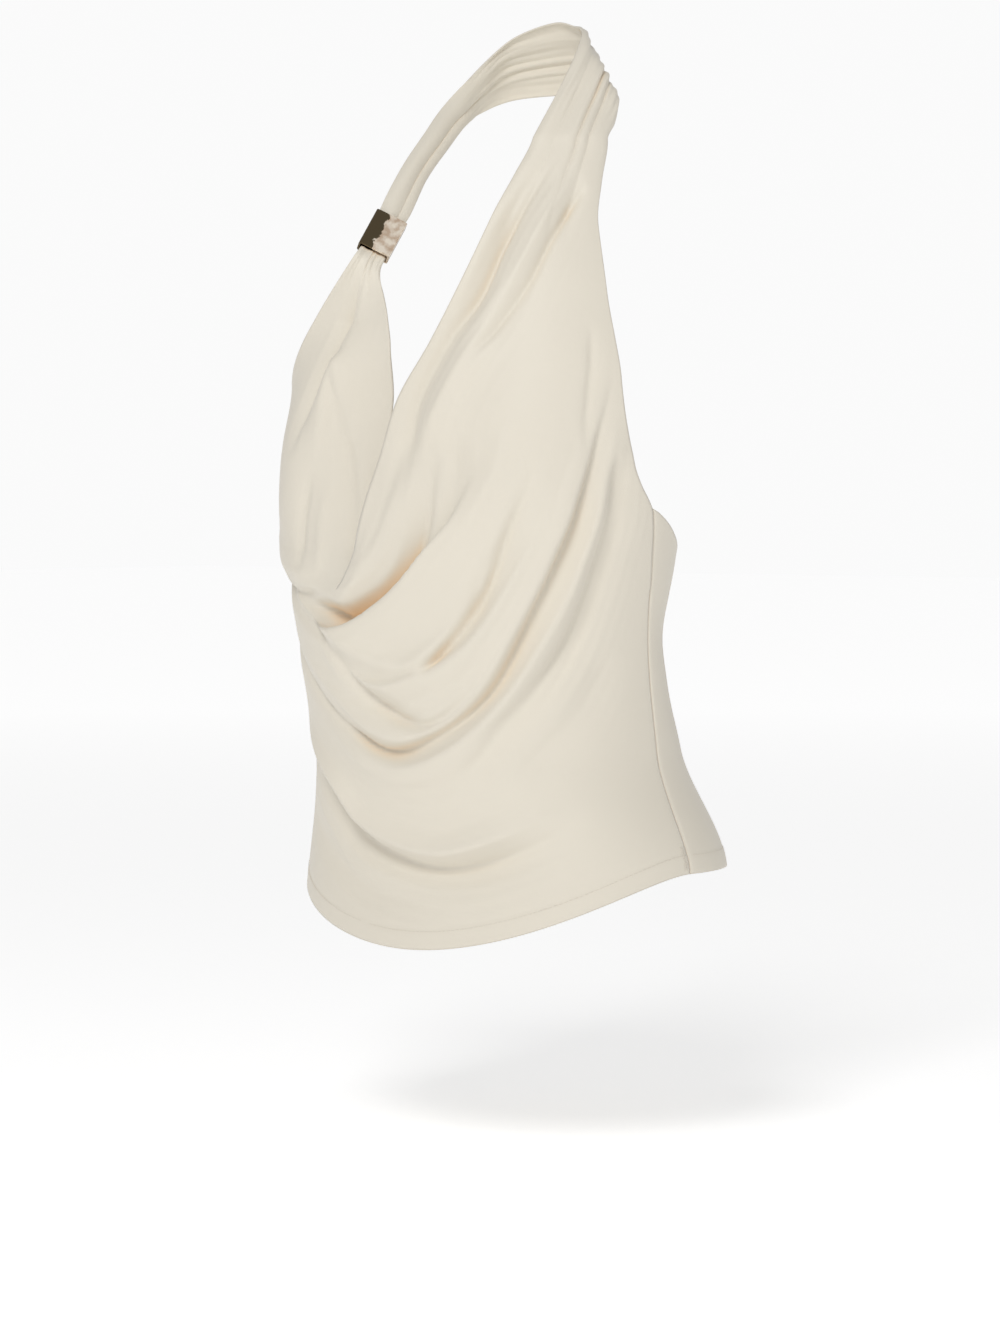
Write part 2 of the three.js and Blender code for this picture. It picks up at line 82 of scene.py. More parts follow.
# Gathers along the straps, the finer ones among them, and the two rolls of the right strap
GATHERS = {"count": 4, "uneven": 0.08, "waves": 3, "phase": 0.8, "shape": 0.8}
FINE_GATHERS = {
    "share": 0.16, "count": 8.5, "wander": ((0.35, 1.3), (0.2, 3.1)),
    "varied": 0.4, "varied_along": 2.1, "varied_across": 5,
}
ROLLS = {"groove": 0.67, "narrow": 0.4, "shape": 0.9}

# Shallow drag lines across the small of the back
BACK_CREASES = {
    "deep": 1.1, "slope": 0.1, "wave": 9.5, "z": -385, "tall": 34, "varied": 0.3, "turns": 3, "phase": 40,
}

# Small steps that give the ways round and up at a point of a surface
NUDGE = {"angle": 0.5, "z": 1, "s": 0.002, "t": 0.004, "station": 0.02}

# Rows and columns of the cloth meshes
GRID = {
    "strap_rows": 44, "left_rows": 96, "right_top_rows": 26, "right_rows": 56, "cowl_rows": 36,
    "body_rows": 116, "band_rows": 170, "left_columns": 92, "right_columns": 68, "back_columns": 120,
}

# Heights where each strap grows out of the front, and a row below that gives its first direction
STRAP_FOOT = {"z": -58, "below": -83}
RING_FOOT = {"z": -170, "below": -196}

# Stations along each strap, counted from its foot: the strap seam, the gap there, and the ends in the ring
STRAP_SEAM = 4
SEAM_STEP = 0.01
STRAP_END = 12.55
RIGHT_TOP_END = 2.1

# The ring: its middle, the way up through it and the way across it, and its eased edges
RING = {"centre": (-39.5, -142, -118), "along": (0, 0.62, 0.785), "across": (0.692, 0.566, -0.447)}
RING_EDGE = {"width": 0.3, "segments": 3, "angle": 50}

# Where the two painted reflections on the ring meet, in metres across it from its middle
PAINTED_REFLECTIONS = {"border": 0.0022, "blur": 0.0006, "waves": 0.009}

# Body sections by height: the middle, half the width, and the depth to the front and the back
SECTIONS = {
    "z": (30, -20, -58, -82, -108, -155, -209, -250, -291, -325, -377, -445, -517, -575),
    "x": (-1, -2, -3, -4, -5, -7, -8, -8, -8, -8, -8, -4, 0, 0),
    "y": (-54, -56, -58, -61, -64, -68, -72, -74, -74, -74, -71, -64, -56, -56),
    "half": (55, 70, 90, 99, 108, 125, 138, 138, 139, 134, 126, 124, 147, 154),
    "front": (46, 50, 58, 70, 82, 94, 99, 103, 110, 113, 114, 114, 108, 110),
    "back": (50, 62, 75, 80, 84, 88, 90, 90, 88, 85, 72, 90, 106, 110),
}

# Loose cloth beside the bust, which stands out from the body sections
EASE = {"angle": 40, "z": -245, "out": 9, "wide": 24, "above": 60, "below": 85}

# Edges of the pieces, by height
NECK_LEFT = {
    "z": (-58, -107, -149, -187, -225, -264, -300, -331, -343),
    "angle": (38, 28.2, 20.2, 11.7, 3, -1, -5.2, -9, -13),
}
ARMHOLE_LEFT = {
    "z": (-58, -89, -115, -161, -186, -213, -243, -272, -291),
    "angle": (80, 73, 70, 70, 70.5, 72.5, 76, 81, 87),
}
SIDE_SEAM = {"z": (-291, -326, -387, -448, -496, -520), "angle": (87, 90, 93, 92, 88, 87)}
NECK_RIGHT = {
    "z": (-122, -146, -187, -224, -264, -300, -331, -343),
    "angle": (-8, -6.5, -4, -5, -3.5, -6.5, -10, -13),
}
ARMHOLE_RIGHT = {"z": (-122, -150, -187, -225, -260, -291), "angle": (-24, -32, -47, -63, -75, -87)}
# How far the right front is drawn flat, and tucked in at its neckline edge
RIGHT_SIDE = {
    "z": (-122, -150, -187, -224, -264, -300, -331, -343),
    "drawn": (0, 9, 7.5, 4, 0, 0, 0, 0),
    "tucked": (0, 0, 8, 20, 18, 12, 4, 0),
}
# How deep the strap's gathers still are as they run out over the left front
STRAP_GATHERS = {"z": (-50, -90, -130), "deep": (2.2, 1.1, 0)}
# Top edge of the back, by the share of the way from a side seam to the centre back
BACK_TOP = {"share": (0, 0.11, 0.23, 0.34, 0.57, 1), "z": (UNDERARM, -300, -310, -317, -325, -330)}

# Folds: name, line of (angle, z) from the wearer's right to left, how far the cloth moves out, half width
# above and below the line, how far it is drawn up, shares of the length that fade at the right and left
# ends, and how pointed its crest or crease is (2 is round, less is sharper)
FOLD_COLUMNS = ("line", "out", "above", "below", "lift", "right", "left", "point")
FOLDS = {
    "cowl pocket": (
        ((-38, -348), (-20, -357), (-8, -363), (8, -342), (15, -308), (17, -240)),
        -13, 9, 4.5, 0, 0.25, 0.35, 1.8),
    "cowl rim": (
        ((-62, -312), (-32, -361), (-11, -373), (10, -348), (24, -308), (31, -262)),
        8, 4.5, 17, 8, 0.45, 0.3, 2),
    "cowl band": (
        ((-40, -335), (-14, -350), (-2, -325), (5, -290), (10, -245)),
        4, 8, 8, 0, 0.2, 0.3, 2),
    "band crease": (((-4, -335), (2, -300), (5, -262), (8, -232)), -2.5, 4, 6, 0, 0.3, 0.3, 1.6),
    "soft valley": (((20, -312), (23, -275), (22, -240)), -3, 6, 8, 0, 0.35, 0.35, 1.8),
    "upper soft fold": (((27, -312), (34, -272), (36, -240)), 2.2, 7, 6, 0, 0.35, 0.35, 2),
    "sharp tuck": (((14, -397), (25.5, -369), (31.5, -350), (33, -330)), -2.5, 3.5, 5, 0, 0.2, 0.35, 1.5),
    "neck edge shade": (((-9.5, -331), (-7.5, -295), (-8, -255)), -4, 7, 6, 0, 0.3, 0.3, 2),
    "right piece fold": (((-17, -252), (-20.5, -215), (-25, -188)), 4, 3.5, 7, 0, 0.25, 0.25, 1.7),
    "armhole line": (((60, -262), (60.5, -217), (62, -176)), -2, 4, 6, 0, 0.35, 0.3, 1.7),
    "right crease": (((-70, -314), (-44, -344), (-15, -343)), -4, 4, 5, 0, 0.3, 0.3, 1.5),
    "right roll": (((-66, -300), (-42, -328), (-20, -330)), 3, 12, 7, 0, 0.3, 0.3, 2),
    "neck groove": (
        ((8, -292), (8, -250), (9, -222), (17, -184), (26, -157), (32, -128), (39, -103), (51, -69)),
        -9.5, 15, 6, 0, 0.25, 0.25, 1.7),
    "neck ridge": (
        ((13, -262), (17, -232), (24, -196), (36, -155), (46, -120), (58, -80)),
        6, 8, 11, 0, 0.2, 0.2, 2),
    "slant groove": (
        ((22, -205), (28, -190), (34, -174), (42, -151), (50, -124), (58, -105), (66, -88)),
        -6.5, 9, 4.5, 0, 0.3, 0.2, 1.4),
    "second trough": (
        ((14, -399), (22, -381), (34, -349), (40, -301), (46, -258)),
        -6, 4, 6.5, 0, 0.2, 0.35, 1.5),
    "second ridge": (
        ((-22, -362), (-10, -380), (9, -389), (24, -372), (33, -352)),
        4.5, 6, 7, 0, 0.3, 0.3, 2),
    "third ridge": (
        ((-50, -330), (-22, -368), (-12, -394), (2, -404), (20, -392), (34, -368), (46, -318), (54, -270)),
        6, 5, 8, 2, 0.3, 0.3, 2),
    "third trough": (
        ((-55, -335), (-22, -374), (-6, -406), (12, -427), (28, -410), (42, -368)),
        -6.5, 6, 4.5, 0, 0.2, 0.3, 1.6),
    "long ridge": (
        ((-60, -350), (-24, -400), (-4, -430), (12, -434), (32, -403), (48, -350), (58, -282), (66, -222)),
        5, 9, 5, 1, 0.3, 0.2, 2),
    "long trough": (
        ((-66, -350), (-35, -398), (-12, -434), (6, -443), (35, -407), (52, -342), (62, -271), (70, -205)),
        -7, 4, 6.5, 0, 0.3, 0.2, 1.4),
    "low ridge": (
        ((-62, -370), (-27, -410), (-6, -449), (14, -451), (40, -412), (58, -355), (67, -290), (72, -235)),
        5.5, 6, 12, 2, 0.3, 0.2, 2),
    "side trough": (
        ((19, -473), (34, -436), (50, -402), (63, -363), (70, -303), (73, -255)),
        -7, 6, 12, 0, 0.3, 0.12, 1.6),
    "soft trough": (
        ((38, -461), (47, -445), (58, -427), (69, -402), (76, -377)),
        -3, 8, 14, 0, 0.3, 0.3, 2),
    "hem ridge": (
        ((-58, -420), (-26, -464), (-14, -490), (8, -508), (30, -494), (50, -474)),
        6, 9, 5, 1, 0.25, 0.3, 2),
    "hem trough": (
        ((-60, -430), (-28, -476), (-14, -503), (9, -517), (32, -505), (58, -478)),
        -7.5, 5, 12, 0, 0.25, 0.3, 1.5),
    "lowest trough": (((-50, -480), (-26, -518), (-8, -536), (14, -540)), -3, 8, 10, 0, 0.3, 0.4, 2),
    "outer ring crease": (
        ((-36, -260), (-31, -218), (-26, -180), (-20, -143)),
        -4.5, 7, 5, 0, 0.3, 0.15, 1.7),
    "inner ring crease": (
        ((-11, -326), (-13, -290), (-18, -243), (-21, -205)),
        -4.5, 6, 5, 0, 0.2, 0.3, 1.6),
    "right pleat": (((-31, -334), (-30, -300), (-26, -262)), -3.5, 4, 4, 0, 0.35, 0.4, 1.6),
    "right pleat ridge": (((-22, -334), (-22, -302), (-20, -268)), 2.2, 5, 5, 0, 0.3, 0.4, 2),
    "ring ridge": (((-24, -262), (-25, -221), (-25, -190)), 3, 7, 4, 0, 0.3, 0.3, 2),
}

# Faint ripples that run along each fold: share of its move, wavelength and reach in widths
ECHO = {"share": 0.035, "wave": 8.5, "reach": 2.6}

# Points on a fold's line for each step of its table
FOLD_STEPS = 8


def mix(a, b, share):
    return a + (b - a) * share


def smooth(share):
    clipped = np.clip(share, 0, 1)
    return clipped * clipped * (3 - 2 * clipped)


def unit(vectors):
    return vectors / np.linalg.norm(vectors, axis=-1, keepdims=True)


# Rises from 0 at both edges to 1 in the middle
def hump(s):
    return 4 * s * (1 - s)


# A smooth curve through one column of a table, which never swings past its rows
def through(table, key, column):
    xs = np.array(table[key], float)
    ys = np.array(table[column], float)
    slopes = np.diff(ys) / np.diff(xs)
    tilts = np.concatenate([slopes[:1], np.zeros(len(xs) - 2), slopes[-1:]])
    for i in range(1, len(xs) - 1):
        before, after = slopes[i - 1], slopes[i]
        if before * after > 0:
            tilts[i] = 2 * before * after / (before + after)
    way = 1 if xs[-1] > xs[0] else -1

    def at(x):
        x = np.asarray(x, float)
        i = np.clip(np.searchsorted(way * xs, way * x, side="right") - 1, 0, len(xs) - 2)
        step = xs[i + 1] - xs[i]
        t = np.clip((x - xs[i]) / step, 0, 1)
        bend = t * (1 - t) * step * ((1 - t) * tilts[i] - t * tilts[i + 1])
        return mix(ys[i], ys[i + 1], smooth(t)) + bend

    return at


section = {column: through(SECTIONS, "z", column) for column in ("x", "y", "half", "front", "back")}
neck_left = through(NECK_LEFT, "z", "angle")
armhole_left = through(ARMHOLE_LEFT, "z", "angle")
side_seam = through(SIDE_SEAM, "z", "angle")
neck_right = through(NECK_RIGHT, "z", "angle")
armhole_right = through(ARMHOLE_RIGHT, "z", "angle")
drawn_flat = through(RIGHT_SIDE, "z", "drawn")
tucked_in = through(RIGHT_SIDE, "z", "tucked")
strap_gathers = through(STRAP_GATHERS, "z", "deep")
back_top = through(BACK_TOP, "share", "z")


def left_edge(z):
    return np.where(z > UNDERARM, armhole_left(z), side_seam(z))


def right_edge(z):
    return np.where(z > UNDERARM, armhole_right(z), -side_seam(z))


def back_top_at(s):
    return back_top(1 - np.abs(1 - 2 * s))


def hem_height(angle):
    front = 1 - smooth(np.abs(angle) / side_seam(HEM_AT_SEAM))
    return HEM_AT_SEAM - HEM_DIP * front ** HEM_SHARPNESS


# The plain form, and the ways round, up and out at a point of it
def form_point(angle, z):
    turn = np.radians(angle)
    sin, cos = np.sin(turn), np.cos(turn)
    dz = z - EASE["z"]
    reach = np.where(dz > 0, EASE["above"], EASE["below"])
    side = (np.abs(angle) - EASE["angle"]) / EASE["wide"]
    ease = EASE["out"] * np.exp(-side**2 - (dz / reach) ** 2)
    depth = np.where(cos > 0, section["front"](z), section["back"](z))
    x = section["x"](z) + (section["half"](z) + ease) * sin * (1 + SQUARENESS * cos * cos)
    y = section["y"](z) - (depth + ease) * cos * (1 + SQUARENESS * sin * sin)
    return np.stack([x, y, z + 0 * angle], -1)


def form_frame(angle, z):
    turn, rise = NUDGE["angle"], NUDGE["z"]
    round_ = unit(form_point(angle + turn, z) - form_point(angle - turn, z))
    up = unit(form_point(angle, z + rise) - form_point(angle, z - rise))
    return round_, up, unit(np.cross(round_, up))


# A fold's line on the unrolled cloth, in millimetres round and up
def unrolled_line(line):
    points = np.array([(angle * DEGREE, z) for angle, z in line], float)
    padded = np.vstack([points[:1], points, points[-1:]])
    steps = []
    for a, b, c, d in zip(padded, padded[1:], padded[2:], padded[3:]):
        t = np.linspace(0, 1, FOLD_STEPS, endpoint=False)[:, None]
        start, end = (c - a) / 2, (d - b) / 2
        curve = (2 * b - 2 * c + start + end) * t**3 + (3 * c - 3 * b - 2 * start - end) * t**2
        steps.append(curve + start * t + b)
    return np.vstack([*steps, points[-1:]])


FOLD_LINES = [dict(zip(FOLD_COLUMNS, fold), points=unrolled_line(fold[0])) for fold in FOLDS.values()]


# How far each point lies from a line, the way below it, the side it is on and how far along it is
def nearest_on_line(points, at):
    last = len(points) - 1
    distance = np.full(len(at), np.inf)
    below = np.zeros((len(at), 2))
    side = np.zeros(len(at))
    along = np.zeros(len(at))
    for i, (start, end) in enumerate(zip(points, points[1:])):
        step = end - start
        offset = at - start
        share = np.clip(offset @ step / (step @ step), 0, 1)
        offset = offset - share[:, None] * step
        away = np.hypot(offset[:, 0], offset[:, 1])
        hit = away < distance
        down = np.array([step[1], -step[0]]) / math.hypot(*step)
        distance[hit] = away[hit]
        below[hit] = down
        side[hit] = np.sign(offset @ down)[hit]
        along[hit] = ((i + share) / last)[hit]
    return distance, below, side, along


# How far all the folds move the cloth out, and how far they slide it round and up
def fold_move(angle, z):
    shape = np.broadcast(angle, z).shape
    at = np.stack([np.broadcast_to(angle * DEGREE, shape).ravel(), np.broadcast_to(z, shape).ravel()], -1)
    out = np.zeros(len(at))
    slide = np.zeros((len(at), 2))
    for fold in FOLD_LINES:
        distance, below, side, along = nearest_on_line(fold["points"], at)
        width = np.where(side > 0, fold["below"], fold["above"])
        fade = smooth(along / fold["right"]) * smooth((1 - along) / fold["left"])
        strength = fade * np.exp(-((distance / width) ** fold["point"]))
        ripple = fade * np.cos(2 * np.pi * distance / ECHO["wave"])
        ripple *= np.exp(-((distance / (ECHO["reach"] * width)) ** 2))
        out += fold["out"] * (strength + ECHO["share"] * ripple)
        slide -= below * (fold["lift"] * strength)[:, None]
    return out.reshape(shape), slide.reshape(shape + (2,))


# A point of the draped cloth, with an extra move out and a share of the folds
def cloth_point(angle, z, extra, folded=1):
    angle = np.asarray(angle, float)
    wrapped = np.where(angle > 180, angle - 360, angle)
    round_, up, out = form_frame(angle, z)
    moved, slide = fold_move(wrapped, z)
    fade = folded * smooth((FOLDS_END - np.abs(wrapped)) / FOLDS_FADE)
    point = form_point(angle, z) + out * (moved * fade + extra)[..., None]
    return point + round_ * (slide[..., 0] * fade)[..., None] + up * (slide[..., 1] * fade)[..., None]


# Uneven gathers that run lengthwise in a strap
def gathers(s):
    share = np.clip(s, 0, 1)
    shift = np.sin(GATHERS["waves"] * np.pi * share + GATHERS["phase"]) * np.sin(np.pi * share)
    uneven = share + GATHERS["uneven"] * shift
    return np.abs(np.sin(GATHERS["count"] * np.pi * uneven)) ** GATHERS["shape"]


# Finer gathers, which wander across the strap and come and go
def fine_gathers(s, t):
    wander = sum(reach * np.sin(turns * t) for reach, turns in FINE_GATHERS["wander"])
    wave = np.sin(2 * np.pi * (FINE_GATHERS["count"] * s + wander))
    place = FINE_GATHERS["varied_along"] * t + FINE_GATHERS["varied_across"] * s
    return wave * mix(1, np.sin(place), FINE_GATHERS["varied"])


# The wide and the narrow roll of the right strap, with a groove between them
def rolls(s):
    share = np.clip(s, 0, 1)
    groove = ROLLS["groove"]
    wide = np.abs(np.sin(np.pi * share / groove)) ** ROLLS["shape"]
    narrow = np.abs(np.sin(np.pi * (share - groove) / (1 - groove))) ** ROLLS["shape"]
    return np.where(share < groove, wide, ROLLS["narrow"] * narrow)


# A row of cloth held across the ring, so far up from its middle and forward in it
def ring_station(up, half, forward):
    across, along = np.array(RING["across"]), np.array(RING["along"])
    middle = np.array(RING["centre"]) + along * up + np.cross(across, along) * forward
    return middle - across * half, middle + across * half


# Stations: upper edge, lower edge, bulge, depth of the gathers and of the rolls
STATION_COLUMNS = ("upper", "lower", "bulge", "gathers", "rolls")
STRAP = [
    ((55, -75, -20), (83, -58, -48), 2.5, 2.5, 0),
    ((48, -51, 5), (77, -47, -36), 2.5, 2.6, 0),
    ((37, -34, 17), (53, -24, -30), 1, 2.3, 0),
    ((14, -13, 23), (30, 1, -21), 2.5, 1.8, 0),
    ((-6, -9, 27), (-8, 7, -19), 3, 1.8, 0),
    ((-32, -20, 18), (-42, -10, -22), 2, 1.8, 0),
    ((-45, -38, -1), (-50, -34, -32), 0, 1, -2),
    ((-52.6, -67.8, -31), (-45.4, -54.2, -41), -1, 0, -4),
    ((-51, -87, -49), (-42, -76, -58), -1, 0, -4),
    ((-50, -109, -71), (-40, -99, -79), -1, 0, -4),
    (*ring_station(20, 8.8, -0.7), 0, 0, -2.6),
    (*ring_station(8, 7.2, -0.7), 0, 0, -2.4),
    (*ring_station(-6, 7.2, -0.7), 0, 0, -2.4),
]
RIGHT_TOP = [
    (*ring_station(-24, 9.8, 0.4), 0, 1, 0),
    (*ring_station(-14.7, 8.8, 0.9), 0, 0.7, 0),
    (*ring_station(-6, 8.6, 0.9), 0, 0.6, 0),
]


# The cloth dips into each side seam
def seam_dip(away):
    return -SEAM_DIP["deep"] * np.exp(-((away * DEGREE / SEAM_DIP["wide"]) ** 2))


# The turned hem is two layers thick, which shows as a slight step at its stitching
def hem_turning(above_hem):
    over = TURNING["tall"] - above_hem
    pull = TURNING["pull"] * np.exp(-((over / TURNING["pull_wide"]) ** 2))
    return TURNING["step"] * smooth(over / TURNING["soft"]) - pull


# The drag lines fade towards the side seams and above and below the small of the back
def back_creases(angle, z):
    inner = np.sin(np.pi * np.clip((angle - 90) / 180, 0, 1))
    slanted = z + BACK_CREASES["slope"] * (angle - 180)
    near = np.exp(-(((z - BACK_CREASES["z"]) / BACK_CREASES["tall"]) ** 2))
    wave = np.sin(slanted / BACK_CREASES["wave"]) * near
    varied = np.sin(np.radians(BACK_CREASES["turns"] * angle + BACK_CREASES["phase"]))
    return BACK_CREASES["deep"] * inner * wave * mix(1, varied, BACK_CREASES["varied"])


# Surfaces: each gives the points at s, from the wearer's right to left, and z or t, from low to high

# The neckline edge hangs straight, so the folds calm down towards it
def left_front(s, z):
    rise = smooth((z - COWL_LOW["z"]) / NECK_CALM["rise"])
    calm = NECK_CALM["share"] * rise * (1 - smooth(s / NECK_CALM["wide"]))
    angle = mix(neck_left(z), left_edge(z), s)
    return cloth_point(angle, z + 0 * s, strap_gathers(z) * gathers(s), 1 - calm)


def right_front(s, z):
    flat = drawn_flat(z) * hump(s)
    tuck = tucked_in(z) * (1 - smooth(TUCK_SHARPNESS * (1 - s)))
    return cloth_point(mix(right_edge(z), neck_right(z), s), z + 0 * s, -flat - tuck)


# Below the cowl, the front is two surfaces that meet on one line: side is 1 for the left, -1 for the right
def lower_front(side):
    def surface(s, t):
        seam = side * side_seam(mix(COWL_LOW["z"], HEM_AT_SEAM, -t))
        low = COWL_LOW["angle"]
        angle = mix(low, seam, s) if side > 0 else mix(seam, low, s)
        hem = hem_height(angle)
        z = mix(COWL_LOW["z"], hem, -t)
        return cloth_point(angle, z, hem_turning(z - hem) + seam_dip(angle - seam))

    return surface


def back(s, t):
    seam = side_seam(mix(UNDERARM, HEM_AT_SEAM, -t))
    angle = mix(seam, 360 - seam, s)
    z = mix(back_top_at(s), HEM_AT_SEAM, -t)
    dips = seam_dip(angle - seam) + seam_dip(360 - seam - angle)
    return cloth_point(angle, z, hem_turning(z - HEM_AT_SEAM) + back_creases(angle, z) + dips)


# Centripetal spline through the points, with the value at t counted from the first point
def spline(points):
    points = np.array(points, float)
    padded = np.vstack([2 * points[0] - points[1], points, 2 * points[-1] - points[-2]])
    gaps = np.sqrt(np.linalg.norm(np.diff(padded, axis=0), axis=1))

    def at(t):
        i = np.clip(np.floor(t).astype(int), 0, len(points) - 2)
        share = (t - i)[..., None]
        a, b, c, d = (padded[i + k] for k in range(4))
        before, own, after = (gaps[i + k][..., None] for k in range(3))
        start = own * ((b - a) / before - (c - a) / (before + own) + (c - b) / own)
        end = own * ((c - b) / own - (d - b) / (own + after) + (d - c) / after)
        cubic = (2 * b - 2 * c + start + end) * share**3
        return cubic + (3 * c - 3 * b - 2 * start - end) * share**2 + start * share + b

    return at


# A strip whose foot is a row of the sheet below it, and whose edges then follow the stations
def strip(sheet, foot, stations):
    table = dict(zip(STATION_COLUMNS, zip(*stations)))
    table["t"] = range(1, len(stations) + 1)
    edges = {}
    for name, s in (("upper", 0.0), ("lower", 1.0)):
        start = [sheet(np.array(s), foot[row]) for row in ("below", "z")]
        edges[name] = spline([*start, *table[name]])
    shape = {column: through(table, "t", column) for column in ("bulge", "gathers", "rolls")}

    def flat(s, t):
        return mix(edges["upper"](t + 1), edges["lower"](t + 1), s[..., None])

    def surface(s, t):
        t = t + 0 * s
        round_ = edges["lower"](t + 1) - edges["upper"](t + 1)
        up = flat(s, t + NUDGE["station"]) - flat(s, t - NUDGE["station"])
        out = unit(np.cross(round_, up))
        own = smooth(t)
        deep = shape["bulge"](t) * hump(s) + shape["rolls"](t) * rolls(s)
        deep += shape["gathers"](t) * (gathers(s) + FINE_GATHERS["share"] * fine_gathers(s, t))
        foot_shape = sheet(s, foot["z"]) - flat(s, 0 * s)
        return flat(s, t) + foot_shape * (1 - own)[..., None] + out * (own * deep)[..., None]

    return surface


strap = strip(left_front, STRAP_FOOT, STRAP)
right_top = strip(right_front, RING_FOOT, RIGHT_TOP)


# A sheet of cloth: grids of points joined along shared rows
class Sheet:
    def __init__(self):
        self.points = []
        self.faces = []

    # Adds a surface's rows, with its end columns moved by the trim, and gives the numbers of their points
    def rows(self, surface, ts, columns, trim=(0, 0)):
        s, t = np.meshgrid(np.linspace(0, 1, columns + 1), ts)
        points = surface(s, t)
        points[:, 0] += unit(points[:, 1] - points[:, 0]) * trim[0]
        points[:, -1] += unit(points[:, -1] - points[:, -2]) * trim[1]
        start = len(self.points)
        self.points.extend(points.reshape(-1, 3))
        return (start + np.arange(points[..., 0].size).reshape(s.shape)).tolist()

    # Adds the faces between rows, from the lowest up
    def join(self, rows):
        for lower, upper in zip(rows, rows[1:]):
            for i in range(len(lower) - 1):
                self.faces.append((lower[i], lower[i + 1], upper[i + 1], upper[i]))

    # A piece of cloth, as thick as the cloth is, inwards from its points
    def piece(self, name, material):
        mesh = bpy.data.meshes.new(name)
        mesh.from_pydata([tuple(point * MM) for point in self.points], [], self.faces)
        mesh.validate()
        mesh.shade_smooth()
        mesh.materials.append(material)
        piece = bpy.data.objects.new(name, mesh)
        bpy.context.collection.objects.link(piece)
        wall = piece.modifiers.new("cloth", "SOLIDIFY")
        wall.thickness = CLOTH * MM
        wall.offset = -1
        wall.use_even_offset = False
        return piece


# Evenly spaced steps above a first one
def steps_above(low, high, count):
    return np.linspace(low, high, count + 1)[1:]


def front_piece(material):
    sheet = Sheet()
    trim = SEAM_GAP / 2
    left, right = GRID["left_columns"], GRID["right_columns"]
    body_steps = np.linspace(-1, 0, GRID["body_rows"] + 1)
    right_body = sheet.rows(lower_front(-1), body_steps, right, (trim, 0))
    left_body = sheet.rows(lower_front(1), body_steps, left, (0, -trim))
    left_body = [[ours[-1], *theirs[1:]] for ours, theirs in zip(right_body, left_body)]
    cowl = steps_above(COWL_LOW["z"], UNDERARM, GRID["cowl_rows"])
    left_heights = steps_above(UNDERARM, STRAP_FOOT["z"], GRID["left_rows"])
    right_heights = steps_above(UNDERARM, RING_FOOT["z"], GRID["right_rows"])
    sheet.join([
        *left_body,
        *sheet.rows(left_front, cowl, left, (0, -trim)),
        *sheet.rows(left_front, left_heights, left),
        *sheet.rows(strap, steps_above(0, STRAP_SEAM - SEAM_STEP, GRID["strap_rows"]), left),
    ])
    sheet.join([
        *right_body,
        *sheet.rows(right_front, cowl, right, (trim, 0)),
        *sheet.rows(right_front, right_heights, right),
        *sheet.rows(right_top, steps_above(0, RIGHT_TOP_END, GRID["right_top_rows"]), right),
    ])
    return sheet.piece("front_cloth", material)


def back_piece(material):
    sheet = Sheet()
    trim = SEAM_GAP / 2
    rows = GRID["body_rows"] + GRID["cowl_rows"]
    sheet.join(sheet.rows(back, np.linspace(-1, 0, rows + 1), GRID["back_columns"], (trim, -trim)))
    return sheet.piece("back_cloth", material)


def strap_piece(material):
    sheet = Sheet()
    steps = np.linspace(STRAP_SEAM + SEAM_STEP, STRAP_END, GRID["band_rows"] + 1)
    sheet.join(sheet.rows(strap, steps, GRID["left_columns"]))
    return sheet.piece("strap_cloth", material)


# Colours, linear: each low and high pair is mixed by a noise
COLOURS = {
    "jersey low": (0.705, 0.655, 0.56, 1),
    "jersey high": (0.745, 0.695, 0.595, 1),
    # painted glow, in place of light caught in deep folds
    "jersey painted glow in deep folds": (0.9, 0.63, 0.37, 1),
    # painted reflections on the ring: a mottled bright one and a dark one
    "ring painted bright reflection low": (0.66, 0.5, 0.37, 1),
    "ring painted bright reflection high": (1, 0.9, 0.76, 1),
    "ring painted dark reflection": (0.17, 0.13, 0.075, 1),
    "thread low": (0.6, 0.55, 0.47, 1),
    "thread high": (0.76, 0.71, 0.62, 1),
    "floor": (0.88, 0.88, 0.88, 1),
    "white": (1, 1, 1, 1),
}


def new_material(name):
    material = bpy.data.materials.new(name)
    material.use_nodes = True
    nodes, links = material.node_tree.nodes, material.node_tree.links
    return material, nodes, links, nodes["Principled BSDF"]


# Adds a node, with its settings and its constant inputs: an underscore in a name stands for a space
def add_node(nodes, kind, settings=None, **inputs):
    node = nodes.new(kind)
    for key, value in (settings or {}).items():
        setattr(node, key, value)
    for key, value in inputs.items():
        node.inputs[key.replace("_", " ")].default_value = value
    return node
